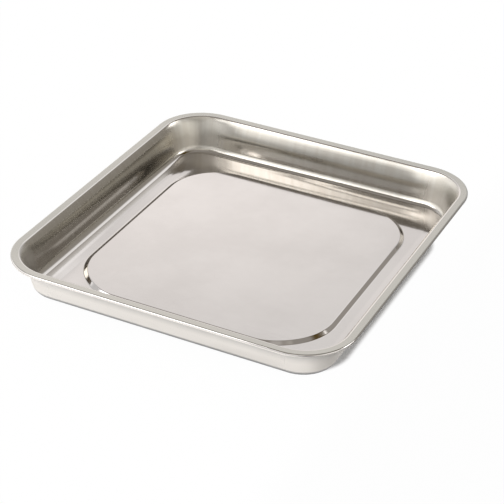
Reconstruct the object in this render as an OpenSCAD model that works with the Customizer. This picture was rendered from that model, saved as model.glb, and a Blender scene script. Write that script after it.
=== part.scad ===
// Magnetic parts tray: a pressed steel pan that stands on four rubber-booted ring magnets.
// Origin under the middle of the tray, on the surface it stands on. +X right, +Y back, +Z up.

/* [Pan] */
// Width over the rim, left to right
tray_w = 270; // [220:1:340]
// Depth over the rim, front to back
tray_d = 290; // [220:1:360]
// Height of the rim above the floor of the pan
well_h = 28.2; // [18:0.2:40]
// Outside corner radius of the rim, seen from above
corner_r = 40; // [32:1:60]
// Thickness of the pressed sheet
sheet_t = 0.6; // [0.4:0.1:1]
// Lean of the walls from upright, in degrees
wall_draft = 8; // [4:0.5:14]
// Inside radius between the walls and the floor
floor_r = 5; // [3:0.5:7]

/* [Rim] */
// Flat width of the rim, from its outer edge to the bend into the wall
rim_w = 5.6; // [4:0.2:8]
// Radius of the bend from the rim into the wall, on its upper side
rim_bend_r = 5.8; // [3:0.2:7]
// Height of the turned-down edge of the rim
lip_h = 2; // [1.6:0.1:5]
// Radius of the rim's outer edge, on its upper side
lip_r = 1.2; // [1.1:0.05:1.5]

/* [Raised panel] */
// Distance from the rim's side edges to the middle of the panel's slope
panel_inset_w = 36; // [32:1:50]
// Distance from the rim's front and back edges to the middle of the panel's slope
panel_inset_d = 43; // [32:1:60]
// Corner radius of the panel at the middle of its slope
panel_r = 42; // [30:1:60]
// Height of the panel above the floor around it
panel_h = 1.2; // [0.8:0.1:1.6]
// Steepness of the panel's edge, in degrees
panel_slope = 36; // [24:1:40]
// Radius at the top and the foot of the panel's edge
panel_bend_r = 3; // [1:0.1:3]

/* [Magnets] */
// Outside diameter of a ring magnet
magnet_d = 50; // [40:1:60]
// Bore of a ring magnet
magnet_bore = 22; // [20:0.5:26]
// Height of a ring magnet
magnet_h = 8; // [7.5:0.5:12]
// Chamfer on the edges of a ring magnet
magnet_chamfer = 0.8; // [0.3:0.1:1.5]
// Distance from the panel's edges to the middle of a magnet
magnet_inset = 41; // [38:1:60]

/* [Rubber boots] */
// Thickness of a boot's wall at its top
boot_wall = 2; // [1.2:0.1:3]
// How much wider a boot is at its foot than at its top, all round
boot_flare = 1; // [0.4:0.1:2]
// Thickness of the rubber under a magnet
boot_base = 2.3; // [2:0.1:4]
// Thickness of the boot's inner rim, which the retainer clamps
boot_rim_t = 1; // [0.6:0.1:1]
// Radius of a boot's foot edge
boot_edge_r = 1.2; // [0.6:0.1:1.8]
// Gap between a magnet and the wall of its boot
boot_gap = 0.2; // [0.1:0.05:0.4]
// Number of grip grooves under a boot
groove_count = 2; // [1:1:3]
// Width of a grip groove
groove_w = 1.2; // [0.6:0.1:1.6]

/* [Retainers and fasteners] */
// Sheet thickness of a retainer cup
cup_t = 0.8; // [0.6:0.1:1]
// Inside bend radius of a retainer cup
cup_bend_r = 0.8; // [0.5:0.1:1.2]
// Width of the cup's clamping flange beyond its wall
cup_flange_w = 4.8; // [3:0.2:6]
// Gap between a cup and the bore of its magnet
cup_gap = 0.3; // [0.2:0.05:0.5]
// Gap between the head of a cup and the pan, which the nut pulls on
cup_head_gap = 1.2; // [1:0.1:2]
// Diameter of a weld stud
stud_d = 5; // [4:0.5:6]
// How far a stud stands out of its nut
stud_proud = 1.2; // [0.6:0.1:1.8]
// Diameter of a stud's weld flange
stud_flange_d = 6.6; // [6.2:0.1:8]
// Height of a stud's weld flange
stud_flange_h = 0.8; // [0.5:0.1:0.9]
// Size of a nut across its flats
nut_af = 8; // [7:0.5:10]
// Height of a nut
nut_h = 4; // [3:0.1:4.5]
// Outside diameter of a washer
washer_d = 10; // [8.5:0.5:12]
// Thickness of a washer
washer_t = 1; // [0.6:0.1:1.2]
// Radial gap between a stud and the pieces on it
stud_gap = 0.15; // [0.1:0.05:0.3]

/* [Hidden] */
$fn = 96;
// Every cut runs this far past what it cuts
overrun = 1;
// Each bend's arc reaches this far past the faces that it joins, so that it always meets them
arc_lap = 0.0004;

// Heights, from the ground up
seat_z = boot_base + magnet_h;
floor_under_z = seat_z - panel_h;
floor_z = floor_under_z + sheet_t;
panel_z = floor_z + panel_h;
rim_z = floor_z + well_h;
rim_under_z = rim_z - sheet_t;
lip_z = rim_z - lip_h;

// The pan's section is drawn outwards from the centre line of a rim corner
centre_x = tray_w / 2 - corner_r;
centre_y = tray_d / 2 - corner_r;
wall_in_x = corner_r - rim_w - rim_bend_r * tan((90 - wall_draft) / 2);
wall_out_x = wall_in_x + sheet_t / cos(wall_draft);
floor_in_x = wall_in_x - well_h * tan(wall_draft);
floor_out_x = wall_out_x - (rim_z - floor_under_z) * tan(wall_draft);
rim_under_x = wall_out_x - sheet_t * tan(wall_draft);

// The panel's section is drawn outwards from the centre line of a panel corner
panel_w = tray_w - 2 * panel_inset_w;
panel_d = tray_d - 2 * panel_inset_d;
panel_centre_x = panel_w / 2 - panel_r;
panel_centre_y = panel_d / 2 - panel_r;
slope_run = panel_h / tan(panel_slope);
panel_tangent = panel_bend_r * tan(panel_slope / 2);
panel_foot_x = panel_r + slope_run / 2 + panel_tangent;

// Magnet pods
magnet_r = magnet_d / 2;
magnet_bore_r = magnet_bore / 2;
pod_x = panel_w / 2 - magnet_inset;
pod_y = panel_d / 2 - magnet_inset;
boot_pocket_r = magnet_r + boot_gap;
boot_top_r = boot_pocket_r + boot_wall;
boot_foot_r = boot_top_r + boot_flare;
cup_r = magnet_bore_r - cup_gap;
cup_flange_r = cup_r + cup_flange_w;
cup_flange_z = boot_base - boot_rim_t;
cup_mouth_z = cup_flange_z - cup_t;
cup_head_z = seat_z - cup_head_gap;
boot_hole_r = cup_r + cup_bend_r + boot_gap;
boot_recess_r = cup_flange_r + boot_gap;
groove_pitch = (boot_foot_r - boot_edge_r - boot_recess_r) / (groove_count + 1);

// Fasteners, each seated under the piece above it
stud_r = stud_d / 2;
washer_z = cup_head_z - cup_t - washer_t;
nut_z = washer_z - nut_h;
stud_z = nut_z - stud_proud;
nut_corner_r = nut_af / sqrt(3);
nut_chamfer = (nut_corner_r - nut_af / 2) / 2;

POD_NAMES = ["front_left", "front_right", "back_left", "back_right"];
POD_SIDES = [[-1, -1], [1, -1], [-1, 1], [1, 1]];

steel_colour = [0.84, 0.82, 0.80];
zinc_colour = [0.72, 0.72, 0.70];
ferrite_colour = [0.22, 0.22, 0.23];
rubber_colour = [0.10, 0.10, 0.10];

function unit(v) = v / norm(v);

// Where a corner's arc of radius r starts, ends and has its centre.
// The corner is at q, between the points p and n of its outline.
function corner_arc(p, q, n, r) =
    let (
        to_p = unit(p - q),
        to_n = unit(n - q),
        half_angle = acos(to_p * to_n) / 2,
        tangent = r / tan(half_angle)
    )
    [q + to_p * tangent, q + to_n * tangent, q + unit(to_p + to_n) * r / sin(half_angle)];

// A closed outline that runs anticlockwise, with true arcs at its corners.
// corners is a list of [point, radius], where a radius of 0 is a sharp corner.
module rounded_outline(corners) {
    last = len(corners) - 1;
    before = [for (i = [0:last]) corners[i == 0 ? last : i - 1][0]];
    here = [for (i = [0:last]) corners[i][0]];
    after = [for (i = [0:last]) corners[i == last ? 0 : i + 1][0]];
    radius = [for (i = [0:last]) corners[i][1]];
    convex = [for (i = [0:last]) cross(here[i] - before[i], after[i] - here[i]) > 0];
    arcs = [
        for (i = [0:last])
            radius[i] > 0 ? corner_arc(before[i], here[i], after[i], radius[i]) : [here[i]]
    ];

    difference() {
        union() {
            polygon([for (arc = arcs) each (len(arc) == 1 ? arc : [arc[0], arc[1]])]);
            for (i = [0:last])
                if (radius[i] > 0 && convex[i])
                    translate(arcs[i][2]) circle(radius[i] + arc_lap);
        }
        for (i = [0:last])
            if (radius[i] > 0 && !convex[i])
                translate(arcs[i][2]) circle(radius[i] + arc_lap);
    }
}

// Carries a section round a rounded rectangle, whose corner centres are at (x, y) and its mirrors.
// The section's own x runs outwards from that line of centres.
module carried_round(x, y) {
    for (quarter = [0:3]) {
        a = quarter % 2 == 0 ? x : y;
        b = quarter % 2 == 0 ? y : x;
        rotate(90 * quarter)
            translate([a, b, 0]) {
                rotate([90, 0, 0])
                    linear_extrude(2 * b)
                        children();
                rotate_extrude(angle = 90)
                    children();
            }
    }
}

// A flat block between the corner centres, from one height to another
module middle_block(x, y, low, high) {
    translate([-x, -y, low])
        cube([2 * x, 2 * y, high - low]);
}

// Section of the pan: a block, less the space outside the sheet, less the well
module pan_section() {
    difference() {
        rounded_outline([
            [[0, floor_under_z], 0],
            [[corner_r, floor_under_z], 0],
            [[corner_r, rim_z], lip_r],
            [[0, rim_z], 0]
        ]);
        rounded_outline([
            [[0, floor_under_z - overrun], 0],
            [[corner_r + overrun, floor_under_z - overrun], 0],
            [[corner_r + overrun, lip_z], 0],
            [[corner_r - sheet_t, lip_z], 0],
            [[corner_r - sheet_t, rim_under_z], lip_r - sheet_t],
            [[rim_under_x, rim_under_z], rim_bend_r - sheet_t],
            [[floor_out_x, floor_under_z], floor_r + sheet_t],
            [[0, floor_under_z], 0]
        ]);
        rounded_outline([
            [[0, floor_z], 0],
            [[floor_in_x, floor_z], floor_r],
            [[wall_in_x, rim_z], rim_bend_r],
            [[corner_r + overrun, rim_z], 0],
            [[corner_r + overrun, rim_z + overrun], 0],
            [[0, rim_z + overrun], 0]
        ]);
    }
}

// Section of the panel's edge, above the height foot. drop lowers it by a sheet for the underside.
module panel_section(foot, drop) {
    top = panel_z - drop;
    low = floor_z - drop;
    deep = low - 2 * panel_bend_r;
    intersection() {
        rounded_outline([
            [[0, deep], 0],
            [[panel_foot_x + overrun, deep], 0],
            [[panel_foot_x + overrun, low], 0],
            [[panel_r + slope_run / 2, low], panel_bend_r],
            [[panel_r - slope_run / 2, top], panel_bend_r],
            [[0, top], 0]
        ]);
        translate([0, foot])
            square([panel_foot_x, top + overrun - foot]);
    }
}

module panel_form(foot, drop) {
    carried_round(panel_centre_x, panel_centre_y)
        panel_section(foot, drop);
    middle_block(panel_centre_x, panel_centre_y, foot, panel_z - drop);
}

// Pressed pan with a turned-down rim, leaning walls and a raised panel in its floor
module tray() {
    color(steel_colour)
        difference() {
            union() {
                carried_round(centre_x, centre_y)
                    pan_section();
                middle_block(centre_x, centre_y, floor_under_z, floor_z);
                panel_form(floor_z - sheet_t / 2, 0);
            }
            panel_form(floor_under_z - overrun, sheet_t);
        }
}

module at_pod(side) {
    translate([side[0] * pod_x, side[1] * pod_y, 0])
        children();
}

module at_every_pod() {
    for (side = POD_SIDES)
        at_pod(side)
            children();
}

// Threaded stud, welded by its flange to the underside of the panel
module weld_stud() {
    chamfer = stud_proud / 2;
    translate([0, 0, seat_z - stud_flange_h])
        cylinder(h = stud_flange_h, d = stud_flange_d);
    translate([0, 0, stud_z + chamfer])
        cylinder(h = seat_z - stud_z - chamfer, r = stud_r);
    translate([0, 0, stud_z])
        cylinder(h = chamfer, r1 = stud_r - chamfer, r2 = stud_r);
}

module weld_studs() {
    color(zinc_colour)
        at_every_pod()
            weld_stud();
}

module washer() {
    translate([0, 0, washer_z])
        difference() {
            cylinder(h = washer_t, d = washer_d);
            translate([0, 0, -overrun])
                cylinder(h = washer_t + 2 * overrun, r = stud_r + stud_gap);
        }
}

module washers() {
    color(zinc_colour)
        at_every_pod()
            washer();
}

// Hexagon nut with both ends of its corners turned off
module nut() {
    translate([0, 0, nut_z])
        difference() {
            intersection() {
                cylinder(h = nut_h, r = nut_corner_r, $fn = 6);
                rotate_extrude()
                    polygon([
                        [0, 0],
                        [nut_corner_r - nut_chamfer, 0],
                        [nut_corner_r, nut_chamfer],
                        [nut_corner_r, nut_h - nut_chamfer],
                        [nut_corner_r - nut_chamfer, nut_h],
                        [0, nut_h]
                    ]);
            }
            translate([0, 0, -overrun])
                cylinder(h = nut_h + 2 * overrun, r = stud_r + stud_gap);
        }
}

module nuts() {
    color(zinc_colour)
        at_every_pod()
            nut();
}

// Ferrite ring with its edges chamfered, seated flat under the panel
module ring_magnet(side) {
    color(ferrite_colour)
        at_pod(side)
            rotate_extrude()
                polygon([
                    [magnet_bore_r + magnet_chamfer, boot_base],
                    [magnet_r - magnet_chamfer, boot_base],
                    [magnet_r, boot_base + magnet_chamfer],
                    [magnet_r, seat_z - magnet_chamfer],
                    [magnet_r - magnet_chamfer, seat_z],
                    [magnet_bore_r + magnet_chamfer, seat_z],
                    [magnet_bore_r, seat_z - magnet_chamfer],
                    [magnet_bore_r, boot_base + magnet_chamfer]
                ]);
}

// Flared boot with a pocket for the magnet, a recess for the retainer and grip grooves underneath
module rubber_boot(side) {
    color(rubber_colour)
        at_pod(side)
            difference() {
                rotate_extrude()
                    rounded_outline([
                        [[0, 0], 0],
                        [[boot_foot_r, 0], boot_edge_r],
                        [[boot_top_r, seat_z], 0],
                        [[0, seat_z], 0]
                    ]);
                translate([0, 0, boot_base])
                    cylinder(h = magnet_h + overrun, r = boot_pocket_r);
                translate([0, 0, -overrun])
                    cylinder(h = boot_base + 2 * overrun, r = boot_hole_r);
                translate([0, 0, -overrun])
                    cylinder(h = cup_flange_z + overrun, r = boot_recess_r);
                for (i = [1:groove_count])
                    rotate_extrude()
                        translate([boot_recess_r + i * groove_pitch, 0])
                            circle(d = groove_w);
            }
}

// Dished steel cup: its flange holds the boot and magnet up, and the nut pulls on its head
module retainer_cup(side) {
    color(zinc_colour)
        at_pod(side)
            difference() {
                rotate_extrude()
                    difference() {
                        rounded_outline([
                            [[0, cup_mouth_z], 0],
                            [[cup_flange_r, cup_mouth_z], 0],
                            [[cup_flange_r, cup_flange_z], 0],
                            [[cup_r, cup_flange_z], cup_bend_r],
                            [[cup_r, cup_head_z], cup_bend_r + cup_t],
                            [[0, cup_head_z], 0]
                        ]);
                        rounded_outline([
                            [[0, cup_mouth_z - overrun], 0],
                            [[cup_flange_r + overrun, cup_mouth_z - overrun], 0],
                            [[cup_flange_r + overrun, cup_mouth_z], 0],
                            [[cup_r - cup_t, cup_mouth_z], cup_bend_r + cup_t],
                            [[cup_r - cup_t, cup_head_z - cup_t], cup_bend_r],
                            [[0, cup_head_z - cup_t], 0]
                        ]);
                    }
                translate([0, 0, cup_head_z - cup_t - overrun])
                    cylinder(h = cup_t + 2 * overrun, r = stud_r + stud_gap);
            }
}

tray();
weld_studs();
washers();
nuts();
for (i = [0:len(POD_NAMES) - 1]) {
    ring_magnet(POD_SIDES[i]);
    rubber_boot(POD_SIDES[i]);
    retainer_cup(POD_SIDES[i]);
}
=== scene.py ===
"""Visual model of a magnetic parts tray.

A drawn steel pan stands on four pods. Each pod is a ring magnet in a rubber boot, held up by a dished
cup, a washer and a nut on a stud that is welded to the pan. Lengths are in metres unless a name says mm.
"""

import logging
import math
from collections.abc import Sequence
from dataclasses import dataclass, field, replace
from enum import Enum
from typing import Any

import bpy
import numpy as np
from mathutils import Matrix, Vector

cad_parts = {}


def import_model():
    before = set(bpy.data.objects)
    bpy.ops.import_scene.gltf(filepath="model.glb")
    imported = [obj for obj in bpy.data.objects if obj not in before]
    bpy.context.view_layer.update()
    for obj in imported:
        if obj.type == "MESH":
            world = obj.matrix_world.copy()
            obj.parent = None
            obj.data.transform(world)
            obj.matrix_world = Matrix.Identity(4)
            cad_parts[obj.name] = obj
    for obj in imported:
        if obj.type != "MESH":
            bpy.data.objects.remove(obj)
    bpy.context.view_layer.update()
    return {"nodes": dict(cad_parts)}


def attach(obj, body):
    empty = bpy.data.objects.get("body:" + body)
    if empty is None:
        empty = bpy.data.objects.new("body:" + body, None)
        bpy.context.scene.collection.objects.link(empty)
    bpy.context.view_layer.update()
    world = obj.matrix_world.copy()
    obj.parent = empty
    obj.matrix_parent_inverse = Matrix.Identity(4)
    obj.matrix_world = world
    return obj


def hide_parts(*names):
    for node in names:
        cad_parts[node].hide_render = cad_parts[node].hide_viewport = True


LOG = logging.getLogger("parts_tray")
MM = 0.001
TAU = 2.0 * math.pi
BODY = "root"

ARC_TURN = math.radians(5.0)
SUPPORT_MM = 0.25
SUPPORT_SHARE = 0.2
SHARP_ANGLE = math.radians(32.0)
SECTION_SLACK = 0.001

PATCH_SPAN = (0.3, 0.7)
STREAK_SPAN = (0.32, 0.68)
GRAIN_SPAN = (0.25, 0.75)
DUST_SPAN = (0.62, 0.74)
SCRATCH_TURN = 0.6
SCRATCH_STRETCH = (6.0, 160.0, 60.0)
SCRATCH_WIDTH = 0.012
ROLL_STRETCH = (1.0, 1.0, 7.0)
CORNER_SPAN = (0.0, 0.25)
# painted shade: span of downward facing over which the dark underside tone comes in
PAINTED_SHADE_SPAN = (-0.12, -0.55)

Colour = tuple[float, float, float, float]
Socket = bpy.types.NodeSocket
WHITE: Colour = (1.0, 1.0, 1.0, 1.0)
ROSE: Colour = (1.0, 0.92, 0.88, 1.0)
CREAM: Colour = (1.0, 0.97, 0.88, 1.0)
IVORY: Colour = (1.0, 0.97, 0.9, 1.0)
COLD: Colour = (0.94, 1.0, 1.08, 1.0)


class Slot(Enum):
    """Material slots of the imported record."""

    PRESSED_STEEL = "pressed_steel"
    ZINC_STEEL = "zinc_steel"
    CUP_STEEL = "cup_steel"
    FERRITE = "ferrite"
    BLACK_RUBBER = "black_rubber"


class Pod(Enum):
    """The four pods, each with its side of the tray across and along."""

    FRONT_LEFT = ("front_left", -1, -1)
    FRONT_RIGHT = ("front_right", 1, -1)
    BACK_LEFT = ("back_left", -1, 1)
    BACK_RIGHT = ("back_right", 1, 1)

    @property
    def place(self) -> str:
        """The place's name, as the CAD nodes have it."""
        return self.value[0]

    @property
    def side(self) -> tuple[int, int]:
        """Sign of the pod's place across and along the tray."""
        return self.value[1], self.value[2]


# Sections and surfaces


@dataclass(frozen=True)
class Bend:
    """A corner of a section in millimetres, with the radius of its arc and the arc's steps.

    A radius of 0 is a sharp corner, and 0 steps leaves their number to ARC_TURN.
    """

    across: float
    up: float
    radius: float = 0.0
    steps: int = 0


@dataclass
class SectionLine:
    """A section as (N, 2) arrays: its points in millimetres, and the way that its surface faces there."""

    points: np.ndarray
    facing: np.ndarray


def left_of(way: np.ndarray) -> np.ndarray:
    """Turns directions a quarter turn to the left: (x, y) becomes (-y, x)."""
    return np.stack([-way[..., 1], way[..., 0]], axis=-1)


def trace(bends: Sequence[Bend], max_run: float = math.inf) -> SectionLine:
    """Samples an open section of straight runs with tangent arcs at its bends.

    At a bend the way turns by the angle a, so its arc starts radius * tan(a / 2) before the corner.
    The facing is the left of the way, turned on evenly from 0 to a, and each point of the arc lies
    one radius from the arc's centre against that facing. Straight runs get a support point near
    both of their ends, so that shading stays flat on them.

    Args:
        bends: The corners in order. The surface faces to the left of the way.
        max_run: Longest step on a straight run, in millimetres.

    Returns:
        The sampled points and facings.
    """
    corners = np.array([[bend.across, bend.up] for bend in bends])
    runs = np.diff(corners, axis=0)
    ways = runs / np.linalg.norm(runs, axis=1, keepdims=True)
    points, facing = [corners[:1]], [left_of(ways[:1])]
    for before, corner, after, bend in zip(ways[:-1], corners[1:-1], ways[1:], bends[1:-1]):
        turn = math.atan2(before[0] * after[1] - before[1] * after[0], float(before @ after))
        side = math.copysign(1.0, turn)
        steps = bend.steps or (max(2, math.ceil(abs(turn) / ARC_TURN)) if bend.radius > 0 else 1)
        angle = np.linspace(0.0, turn, steps + 1)[:, None]
        start_facing = left_of(before)
        arc_facing = np.cos(angle) * start_facing + np.sin(angle) * left_of(start_facing)
        start = corner - before * bend.radius * math.tan(abs(turn) / 2)
        centre = start + side * bend.radius * start_facing
        points.append(centre - side * bend.radius * arc_facing)
        facing.append(arc_facing)
    points.append(corners[-1:])
    facing.append(left_of(ways[-1:]))
    return with_supports(points, facing, max_run)


def far_side(bends: Sequence[Bend], thickness: float) -> list[Bend]:
    """The other side of a sheet, one thickness to the right of a section's way.

    The corner between two runs with right-hand normals m and n moves by thickness * (m + n) / (1 + m . n).
    An arc keeps its centre, so its radius grows at a left turn and shrinks at a right turn.

    Args:
        bends: The corners of the near side.
        thickness: The sheet's thickness.

    Returns:
        The corners of the far side, in the same order.
    """
    corners = np.array([[bend.across, bend.up] for bend in bends])
    runs = np.diff(corners, axis=0)
    right = -left_of(runs / np.linalg.norm(runs, axis=1, keepdims=True))
    before, after = np.concatenate([right[:1], right]), np.concatenate([right, right[-1:]])
    shift = (before + after) / (1.0 + np.sum(before * after, axis=1, keepdims=True))
    turns = before[:, 0] * after[:, 1] - before[:, 1] * after[:, 0]
    moved = corners + thickness * shift
    return [
        Bend(*point, bend.radius + math.copysign(thickness, turn) if bend.radius > 0 else 0.0, bend.steps)
        for point, bend, turn in zip(moved.tolist(), bends, turns)
    ]


def with_supports(points: list[np.ndarray], facing: list[np.ndarray], max_run: float) -> SectionLine:
    """Joins the arcs of a section, and adds points on each straight run between them.

    Where one arc runs straight into the next, their shared point is kept once.

    Args:
        points: Points of each arc in order.
        facing: Facings of each arc in order.
        max_run: Longest step on a straight run, in millimetres.

    Returns:
        The whole section.
    """
    all_points, all_facing = [points[0]], [facing[0]]
    for before, after, faced in zip(points[:-1], points[1:], facing[1:]):
        run = after[0] - before[-1]
        length = float(np.linalg.norm(run))
        if length > SECTION_SLACK:
            inset = min(SUPPORT_MM, SUPPORT_SHARE * length) / length
            share = np.linspace(inset, 1.0 - inset, max(2, math.ceil(length / max_run)))[:, None]
            all_points.append(before[-1] + share * run)
            all_facing.append(np.repeat(faced[:1], len(share), axis=0))
        doubled = int(length <= SECTION_SLACK)
        all_points.append(after[doubled:])
        all_facing.append(faced[doubled:])
    return SectionLine(np.concatenate(all_points), np.concatenate(all_facing))


@dataclass
class Surface:
    """A grid of points and facings, (stations, columns, 3), whose stations close on themselves.

    A surface with no facings of its own is shaded smooth up to SHARP_ANGLE. Its maps are named vectors for
    its finish, one for each point.
    """

    points: np.ndarray
    facing: np.ndarray | None
    closed_section: bool = False
    poles: bool = False
    maps: dict[str, np.ndarray] = field(default_factory=dict)

    def moved(self, across: float, along: float) -> "Surface":
        """The same surface, moved across and along the tray."""
        return replace(self, points=self.points + np.array([across, along, 0.0]))

    def faces(self) -> tuple[np.ndarray, np.ndarray]:
        """Quads of the grid, and the triangles that close its poles.

        Station i and column j give the vertex i * columns + j. Each quad goes along the section
        first and then to the next station, so that it faces as the section does.

        Returns:
            The (N, 4) quads and the (M, 3) triangles, as vertex numbers.
        """
        stations, columns, _ = self.points.shape
        index = np.arange(stations * columns).reshape(stations, columns)
        onward = np.roll(index, -1, axis=0)
        if self.closed_section:
            index = np.concatenate([index, index[:, :1]], axis=1)
            onward = np.concatenate([onward, onward[:, :1]], axis=1)
        corners = (index[:, :-1], index[:, 1:], onward[:, 1:], onward[:, :-1])
        quads = np.stack(corners, axis=-1)
        if not self.poles:
            return quads.reshape(-1, 4), np.empty((0, 3), int)
        first = np.stack([np.full(stations, index[0, 0]), index[:, 1], onward[:, 1]], axis=-1)
        last = np.stack([index[:, -2], np.full(stations, index[0, -1]), onward[:, -2]], axis=-1)
        return quads[:, 1:-1].reshape(-1, 4), np.concatenate([first, last])


def make_piece(name: str, surfaces: Sequence[Surface]) -> bpy.types.Object:
    """Puts surfaces into one mesh object at the origin, with their own normals.

    Args:
        name: The piece's name.
        surfaces: The closed surfaces that the piece is made of.

    Returns:
        The new object, linked to the scene.
    """
    points, facing, faces, maps, count = [], [], [], {}, 0
    for surface in surfaces:
        quads, triangles = surface.faces()
        used, numbers = np.unique(np.concatenate([quads.ravel(), triangles.ravel()]), return_inverse=True)
        numbers = numbers + count
        faces += numbers[: quads.size].reshape(-1, 4).tolist()
        faces += numbers[quads.size :].reshape(-1, 3).tolist()
        points.append(surface.points.reshape(-1, 3)[used])
        if surface.facing is not None:
            facing.append(surface.facing.reshape(-1, 3)[used])
        for key, values in surface.maps.items():
            maps.setdefault(key, []).append(values.reshape(-1, 3)[used])
        count += len(used)
    mesh = bpy.data.meshes.new(name)
    mesh.from_pydata(np.concatenate(points).tolist(), [], faces)
    mesh.polygons.foreach_set("use_smooth", np.ones(len(faces), bool))
    if facing:
        mesh.normals_split_custom_set_from_vertices(np.concatenate(facing).tolist())
    else:
        mesh.set_sharp_from_angle(angle=SHARP_ANGLE)
    for key, values in maps.items():
        layer = mesh.attributes.new(key, "FLOAT_VECTOR", "POINT")
        layer.data.foreach_set("vector", np.concatenate(values).ravel())
    mesh.update()
    piece = bpy.data.objects.new(name, mesh)
    bpy.context.scene.collection.objects.link(piece)
    return piece


def settle(piece: bpy.types.Object, material: bpy.types.Material, node: str) -> None:
    """Dresses a finished piece, and puts it in the place of its CAD node.

    Args:
        piece: The piece.
        material: Its material.
        node: The CAD node that it stands for.
    """
    piece.data.materials.append(material)
    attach(piece, BODY)
    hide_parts(node)
    LOG.info("%s: %d faces for node %s", piece.name, len(piece.data.polygons), node)


def turn_ring(bends: Sequence[Bend], steps: int) -> Surface:
    """Turns a ring section about the upright axis.

    The section's last corner is its first, so its last point is left out. Column j of station i lies at
    (r cos t, r sin t, z), with r and z from the section and t = i of steps in a full turn.

    Args:
        bends: The corners of the section, across from the axis and up.
        steps: Number of stations round the axis.

    Returns:
        The surface in metres.
    """
    line = trace(bends)
    angle = np.arange(steps)[:, None] * TAU / steps
    cos, sin = np.cos(angle), np.sin(angle)
    points, facing = (
        np.stack([cos * across, sin * across, np.broadcast_to(up, (steps, len(up)))], axis=-1)
        for across, up in (line.points[:-1].T, line.facing[:-1].T)
    )
    return Surface(points * MM, facing, closed_section=True)


# Shader nodes


class Graph:
    """Adds and joins the nodes of one node tree."""

    def __init__(self, tree: bpy.types.NodeTree) -> None:
        """Starts on an emptied tree."""
        self.tree = tree
        tree.nodes.clear()

    def add(self, kind: str, inputs: dict[str | int, Any] | None = None, **settings: Any) -> bpy.types.Node:
        """Adds a node.

        Args:
            kind: The node's type name.
            inputs: Value or output socket for each named or numbered input.
            settings: The node's own properties.

        Returns:
            The new node.
        """
        node = self.tree.nodes.new(kind)
        for name, value in settings.items():
            setattr(node, name, value)
        for key, value in (inputs or {}).items():
            if isinstance(value, bpy.types.NodeSocket):
                self.tree.links.new(value, node.inputs[key])
            else:
                node.inputs[key].default_value = value
        return node

    def math(self, operation: str, *values: Any) -> Socket:
        """Adds a Math node and gives its output."""
        return self.add("ShaderNodeMath", dict(enumerate(values)), operation=operation).outputs[0]

    def vector(self, operation: str, *values: Any, output: str = "Vector") -> Socket:
        """Adds a Vector Math node and gives the named output."""
        return self.add("ShaderNodeVectorMath", dict(enumerate(values)), operation=operation).outputs[output]

    def split(self, vector: Any) -> Sequence[Socket]:
        """Adds a Separate XYZ node and gives its three outputs."""
        return self.add("ShaderNodeSeparateXYZ", {0: vector}).outputs

    def noise(self, place: Any, scale: Any, detail: float, roughness: float = 0.5) -> Socket:
        """Adds a Noise texture and gives its value."""
        inputs = {"Vector": place, "Scale": scale, "Detail": detail, "Roughness": roughness}
        return self.add("ShaderNodeTexNoise", inputs).outputs[0]

    def remap(self, value: Any, low: float, high: float, to_low: float = 0.0, to_high: float = 1.0) -> Socket:
        """Adds a smooth Map Range from low..high to to_low..to_high and gives its output."""
        spans = {"Value": value, "From Min": low, "From Max": high, "To Min": to_low, "To Max": to_high}
        return self.add("ShaderNodeMapRange", spans, interpolation_type="SMOOTHSTEP").outputs[0]

    def bump(self, height: Any, height_mm: float, under: Socket | None = None) -> Socket:
        """Adds a Bump.

        Args:
            height: The height that makes it.
            height_mm: How high 1 is, in millimetres.
            under: The normal of a bump that it lies on.

        Returns:
            The new normal.
        """
        inputs = {"Strength": 1.0, "Distance": height_mm * MM, "Height": height}
        if under is not None:
            inputs["Normal"] = under
        return self.add("ShaderNodeBump", inputs).outputs[0]

    def principled(self, colour: Socket, rough: Socket, normal: Socket, metallic: float) -> None:
        """Adds the material's shader and its output.

        Args:
            colour: Base colour.
            rough: Roughness.
            normal: Normal after all bumps.
            metallic: 1 for metal and 0 for anything else.
        """
        inputs = {"Base Color": colour, "Metallic": metallic, "Roughness": rough, "Normal": normal}
        shader = self.add("ShaderNodeBsdfPrincipled", inputs)
        self.add("ShaderNodeOutputMaterial", {"Surface": shader.outputs[0]})

    def mix(self, share: Any, first: Any, second: Any) -> Socket:
        """Adds a colour mix.

        Args:
            share: Share of the second colour.
            first: Colour at a share of 0.
            second: Colour at a share of 1.

        Returns:
            The mixed colour.
        """
        node = self.add("ShaderNodeMix", data_type="RGBA", clamp_factor=True)
        sockets = {s.identifier: s for s in node.inputs}
        for key, value in (("Factor_Float", share), ("A_Color", first), ("B_Color", second)):
            if isinstance(value, bpy.types.NodeSocket):
                self.tree.links.new(value, sockets[key])
            else:
                sockets[key].default_value = value
        return next(s for s in node.outputs if s.identifier == "Result_Color")


def new_material(name: str) -> tuple[bpy.types.Material, Graph]:
    """Makes a material with an emptied node tree.

    Args:
        name: The material's name.

    Returns:
        The material and the graph to fill it with.
    """
    material = bpy.data.materials.new(name)
    material.use_nodes = True
    return material, Graph(material.node_tree)


def new_group(
    name: str, inputs: dict[str, float], outputs: Sequence[str]
) -> tuple[bpy.types.NodeTree, Graph]:
    """Makes an empty shader node group with named value sockets.

    Args:
        name: The group's name.
        inputs: Default value of each input.
        outputs: Name of each output.

    Returns:
        The group and the graph to fill it with.
    """
    group = bpy.data.node_groups.new(name, "ShaderNodeTree")
    graph = Graph(group)
    for key, value in inputs.items():
        socket = group.interface.new_socket(name=key, in_out="INPUT", socket_type="NodeSocketFloat")
        socket.default_value = value
    for key in outputs:
        group.interface.new_socket(name=key, in_out="OUTPUT", socket_type="NodeSocketFloat")
    return group, graph


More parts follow.
